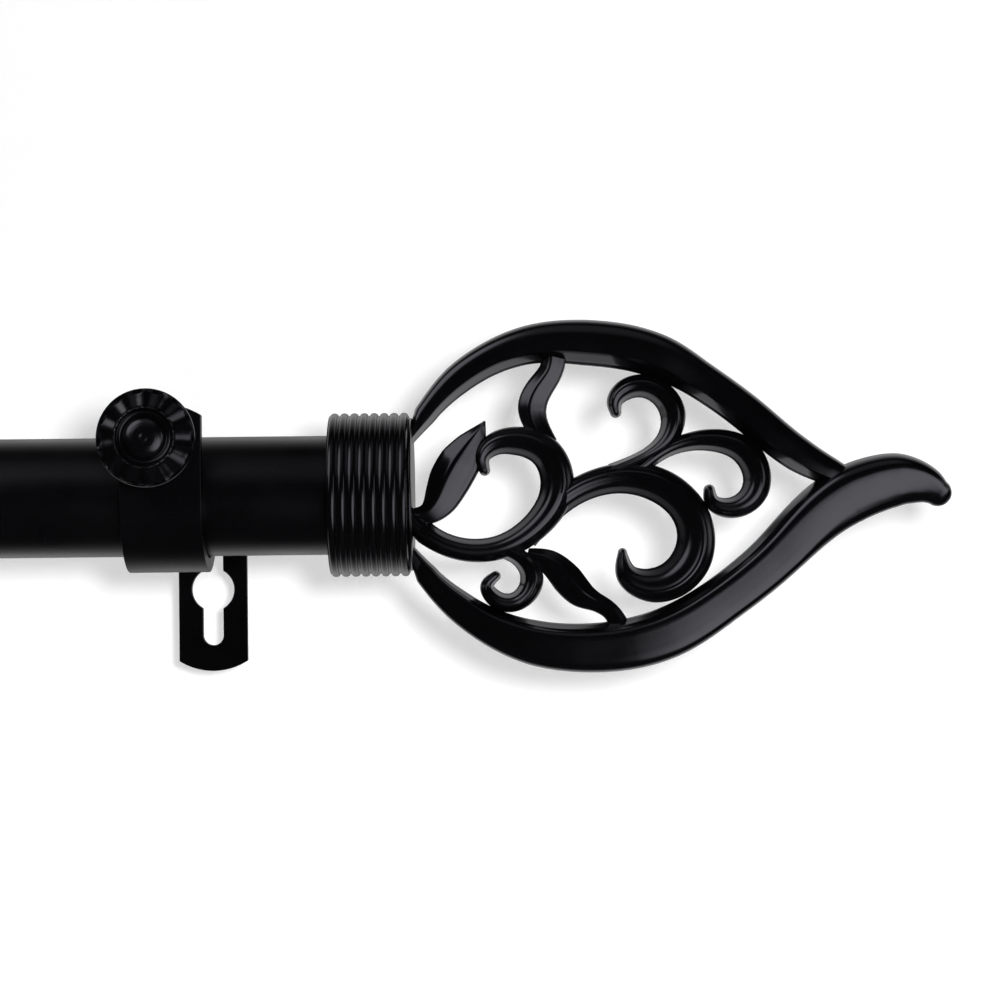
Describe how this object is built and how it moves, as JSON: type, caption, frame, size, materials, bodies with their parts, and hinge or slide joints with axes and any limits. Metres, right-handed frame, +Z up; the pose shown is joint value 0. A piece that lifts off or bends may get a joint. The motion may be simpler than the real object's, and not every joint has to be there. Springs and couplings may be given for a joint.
{
  "type": "telescoping curtain rod with brackets",
  "caption": "Telescoping curtain rod with ribbed collars and openwork scrolled finials, held in cradles of adjustable wall brackets by thumb screws.",
  "frame": {"origin": "on the wall, at the right bracket's centre line and the height of the rod's axis", "axes": "+X along the rod towards the right finial, +Y into the wall, +Z up"},
  "size_m": [0.6128, 0.1255, 0.0781],
  "materials": {
    "rod_steel": "satin",
    "bracket_steel": "satin",
    "finial_casting": "semi-gloss",
    "collar_casting": "semi-gloss",
    "knob_casting": "semi-gloss",
    "black_fastener": "black oxide",
    "zinc_fastener": "bright zinc",
    "brass_insert": "turned",
    "black_nylon": "matte"
  },
  "bodies": {
    "right_wall_arm": {"right_bracket_arm": "bracket_steel"},
    "right_holder": {"right_cradle": "bracket_steel", "right_projection_screws": "black_fastener", "right_projection_washers": "black_fastener", "right_projection_nuts": "black_fastener"},
    "right_stem": {"right_thumb_screw_stem": "black_fastener"},
    "right_knob": {"right_thumb_knob": "knob_casting"},
    "right_stud": {"right_finial_stud": "zinc_fastener"},
    "right_casting": {"right_finial": "finial_casting"},
    "left_wall_arm": {"left_bracket_arm": "bracket_steel"},
    "left_holder": {"left_cradle": "bracket_steel", "left_projection_screws": "black_fastener", "left_projection_washers": "black_fastener", "left_projection_nuts": "black_fastener"},
    "left_stem": {"left_thumb_screw_stem": "black_fastener"},
    "left_knob": {"left_thumb_knob": "knob_casting"},
    "left_stud": {"left_finial_stud": "zinc_fastener"},
    "left_casting": {"left_finial": "finial_casting"},
    "outer_rod": {"outer_tube": "rod_steel", "outer_mouth_bush": "black_nylon", "right_end_plug": "black_nylon", "right_insert_nut": "brass_insert", "right_collar": "collar_casting"},
    "inner_rod": {"inner_tube": "rod_steel", "inner_guide_bush": "black_nylon", "left_step_sleeve": "black_nylon", "left_end_plug": "black_nylon", "left_insert_nut": "brass_insert", "left_collar": "collar_casting"}
  },
  "joints": [
    {"name": "right_projection", "type": "slide", "parent": "right_wall_arm", "child": "right_holder", "axis": [0, -1, 0], "range_m": [-0.011, 0.009]},
    {"name": "rod_lift", "type": "slide", "parent": "right_holder", "child": "outer_rod", "axis": [0, 0, 1], "range_m": [0, 0.06]},
    {"name": "telescope", "type": "slide", "parent": "outer_rod", "child": "inner_rod", "axis": [-1, 0, 0], "range_m": [-0.0735, 0.127]},
    {"name": "left_bracket_place", "type": "slide", "parent": "right_wall_arm", "child": "left_wall_arm", "axis": [-1, 0, 0], "range_m": [-0.0735, 0.127]},
    {"name": "left_projection", "type": "slide", "parent": "left_wall_arm", "child": "left_holder", "axis": [0, -1, 0], "range_m": [-0.011, 0.009]},
    {"name": "right_stem_travel", "type": "slide", "parent": "right_holder", "child": "right_stem", "axis": [0, -1, 0], "range_m": [-0.0044, 0.0015]},
    {"name": "right_knob_turn", "type": "hinge", "parent": "right_stem", "child": "right_knob", "pos_m": [0, -0.1231, 0.0112], "axis": [0, -1, 0], "range_deg": [-1995, 690]},
    {"name": "right_stud_travel", "type": "slide", "parent": "outer_rod", "child": "right_stud", "axis": [1, 0, 0], "range_m": [0, 0.008]},
    {"name": "right_finial_turn", "type": "hinge", "parent": "right_stud", "child": "right_casting", "pos_m": [0.0512, -0.085, 0], "axis": [1, 0, 0], "range_deg": [-15, 2895]},
    {"name": "left_stem_travel", "type": "slide", "parent": "left_holder", "child": "left_stem", "axis": [0, -1, 0], "range_m": [-0.0044, 0.0015]},
    {"name": "left_knob_turn", "type": "hinge", "parent": "left_stem", "child": "left_knob", "pos_m": [-0.2786, -0.1231, 0.0112], "axis": [0, -1, 0], "range_deg": [-1995, 690]},
    {"name": "left_stud_travel", "type": "slide", "parent": "inner_rod", "child": "left_stud", "axis": [-1, 0, 0], "range_m": [0, 0.008]},
    {"name": "left_finial_turn", "type": "hinge", "parent": "left_stud", "child": "left_casting", "pos_m": [-0.3298, -0.085, 0], "axis": [-1, 0, 0], "range_deg": [-15, 2895]}
  ],
  "couplings": [
    {"joint": "left_projection", "follows": "right_projection", "ratio": 1},
    {"joint": "left_bracket_place", "follows": "telescope", "ratio": 1},
    {"joint": "right_knob_turn", "follows": "right_stem_travel", "rad_per_m": 7854},
    {"joint": "right_finial_turn", "follows": "right_stud_travel", "rad_per_m": 6283.2},
    {"joint": "left_knob_turn", "follows": "left_stem_travel", "rad_per_m": 7854},
    {"joint": "left_finial_turn", "follows": "left_stud_travel", "rad_per_m": 6283.2}
  ]
}
